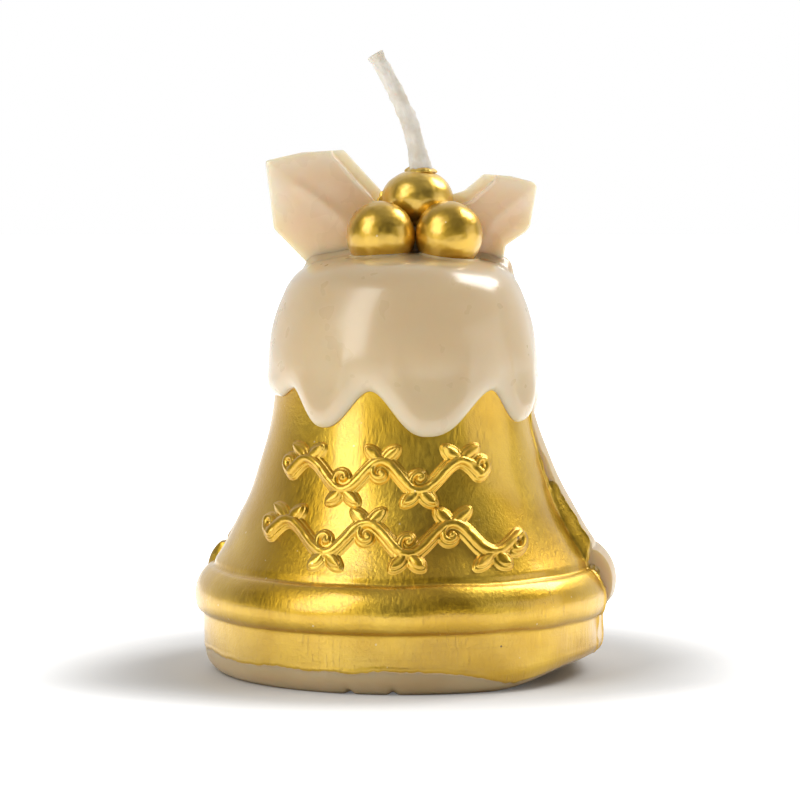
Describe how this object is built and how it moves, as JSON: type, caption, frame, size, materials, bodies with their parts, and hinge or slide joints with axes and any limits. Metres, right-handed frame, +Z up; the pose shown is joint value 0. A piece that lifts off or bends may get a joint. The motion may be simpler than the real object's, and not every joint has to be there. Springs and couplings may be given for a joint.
{
  "type": "bell-shaped moulded candle",
  "caption": "Bell-shaped wax candle: gold-coated flare and belt, dripped cream cap, holly leaves, gold berries and a bendable waxed wick.",
  "frame": {"origin": "centre of the candle's round base, on the surface it stands on", "axes": "+Z up along the candle; the decorated gold front faces -Y; +X is to the right seen from the front"},
  "size_m": [0.0569, 0.0569, 0.0843],
  "materials": {
    "ivory_wax": "smooth uncoated candle wax, faintly translucent",
    "cream_wax": "satin-gloss cream candle wax, translucent",
    "leaf_wax": "thin translucent ivory wax with a soft gloss",
    "gold_paint": "satin metallic gold paint, finely brushed, with specks and small scratches",
    "gold_berry": "metallic gold paint with a fine grain, glossier than the flare",
    "waxed_cotton": "off-white braided cotton soaked in wax",
    "tinned_steel": "bright tinned sheet"
  },
  "bodies": {
    "candle": {"bell_body": "ivory_wax", "base_plug": "ivory_wax", "gold_coat": "gold_paint", "vine_upper": "gold_paint", "vine_lower": "gold_paint", "snow_cap": "cream_wax", "leaf_left": "leaf_wax", "leaf_right": "leaf_wax", "berry_left": "gold_berry", "berry_right": "gold_berry", "berry_top": "gold_berry", "wick_collar": "gold_berry", "wick_core": "waxed_cotton", "wick_sustainer": "tinned_steel"},
    "wick_end": {"wick_tip": "waxed_cotton"}
  },
  "joints": [
    {"name": "wick_bend", "type": "hinge", "parent": "candle", "child": "wick_end", "pos_m": [0.002, 0.0023, 0.0693], "axis": [0, 1, 0], "range_deg": [-25, 45]}
  ]
}
